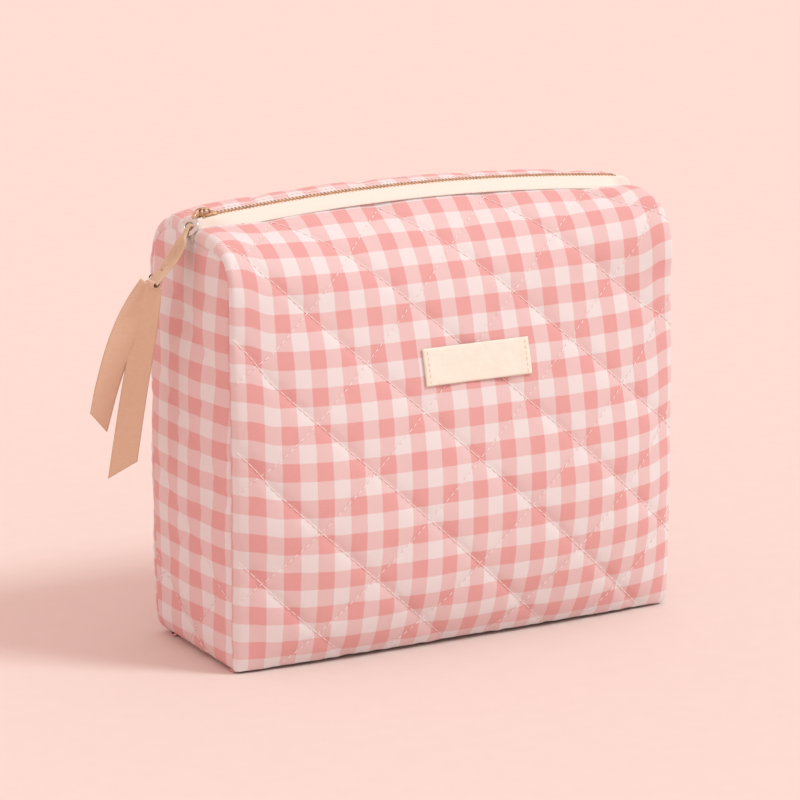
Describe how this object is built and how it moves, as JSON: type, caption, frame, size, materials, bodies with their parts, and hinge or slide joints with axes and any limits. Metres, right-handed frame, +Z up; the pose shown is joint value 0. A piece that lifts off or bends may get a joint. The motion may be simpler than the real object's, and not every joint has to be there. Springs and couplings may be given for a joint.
{
  "type": "zipped makeup bag",
  "caption": "Quilted gingham cotton makeup bag with a boxed base, a zipped top that opens outward, and a slider with a ring, leather tab and ribbon pull.",
  "frame": {"origin": "middle of the base's underside", "axes": "+Z up, +X along the bag's width from the closed end of the zip (the pull) towards its open end, front faces -Y"},
  "size_m": [0.2719, 0.1162, 0.2052],
  "materials": {
    "gingham_quilt": "quilted cotton gingham in dusty pink and off-white, puckered along diamond stitching",
    "wadding": "thin lofted cotton wadding",
    "lining": "plain woven cotton lining",
    "seam_binding": "bias-cut cotton tape",
    "zip_tape": "cream herringbone woven zip tape",
    "zip_teeth": "antique brass teeth and stops",
    "zip_slider": "antique brass slider",
    "zip_puller": "polished nickel puller with a round eyelet",
    "pull_tab": "thin beige leather with a blind-embossed oval",
    "ribbon": "ribbed beige ribbon with slant-cut ends",
    "label": "plain cream woven label, ends folded under"
  },
  "bodies": {
    "shell": {"back_left_seam_binding": "seam_binding", "back_lining": "lining", "back_panel": "gingham_quilt", "back_right_seam_binding": "seam_binding", "back_top_left_end": "gingham_quilt", "back_top_right_end": "gingham_quilt", "back_wadding": "wadding", "back_zip_tape_left_end": "zip_tape", "back_zip_tape_right_end": "zip_tape", "back_zip_teeth_left_end": "zip_teeth", "back_zip_teeth_right_end": "zip_teeth", "back_zip_top_stop": "zip_teeth", "base_lining": "lining", "base_panel": "gingham_quilt", "base_seam_binding": "seam_binding", "base_wadding": "wadding", "front_label": "label", "front_left_seam_binding": "seam_binding", "front_lining": "lining", "front_panel": "gingham_quilt", "front_right_seam_binding": "seam_binding", "front_top_left_end": "gingham_quilt", "front_top_right_end": "gingham_quilt", "front_wadding": "wadding", "front_zip_tape_left_end": "zip_tape", "front_zip_tape_right_end": "zip_tape", "front_zip_teeth_left_end": "zip_teeth", "front_zip_teeth_right_end": "zip_teeth", "front_zip_top_stop": "zip_teeth", "left_side_lining": "lining", "left_side_panel": "gingham_quilt", "left_side_wadding": "wadding", "right_side_lining": "lining", "right_side_panel": "gingham_quilt", "right_side_wadding": "wadding"},
    "front_flap": {"front_top_lining": "lining", "front_top_panel": "gingham_quilt", "front_top_wadding": "wadding", "front_zip_tape": "zip_tape", "front_zip_teeth": "zip_teeth"},
    "back_flap": {"back_top_lining": "lining", "back_top_panel": "gingham_quilt", "back_top_wadding": "wadding", "back_zip_tape": "zip_tape", "back_zip_teeth": "zip_teeth"},
    "slider": {"zip_slider": "zip_slider"},
    "puller": {"zip_puller": "zip_puller"},
    "tab": {"pull_tab": "pull_tab"},
    "ribbon": {"ribbon_knot": "ribbon", "ribbon_front_tail": "ribbon", "ribbon_back_tail": "ribbon"}
  },
  "joints": [
    {"name": "front_flap_open", "type": "hinge", "parent": "shell", "child": "front_flap", "pos_m": [0, -0.041, 0.162], "axis": [1, 0, 0], "range_deg": [0, 50]},
    {"name": "back_flap_open", "type": "hinge", "parent": "shell", "child": "back_flap", "pos_m": [0, 0.041, 0.162], "axis": [-1, 0, 0], "range_deg": [0, 50]},
    {"name": "slider_travel", "type": "hinge", "parent": "shell", "child": "slider", "pos_m": [0, 0, -0.8587], "axis": [0, 1, 0], "range_deg": [0, 11.3], "deforming": ["pull_tab", "ribbon_knot", "ribbon_front_tail", "ribbon_back_tail"]},
    {"name": "puller_swing", "type": "hinge", "parent": "slider", "child": "puller", "pos_m": [-0.10773, 0, 0.20194], "axis": [0, 1, 0], "range_deg": [0, 110]},
    {"name": "tab_swing", "type": "hinge", "parent": "puller", "child": "tab", "pos_m": [-0.12028, 0, 0.19943], "axis": [0, 1, 0], "range_deg": [-5, 70]},
    {"name": "ribbon_swing", "type": "hinge", "parent": "tab", "child": "ribbon", "pos_m": [-0.13082, 0, 0.17599], "axis": [0, 1, 0], "range_deg": [-6, 60]}
  ]
}
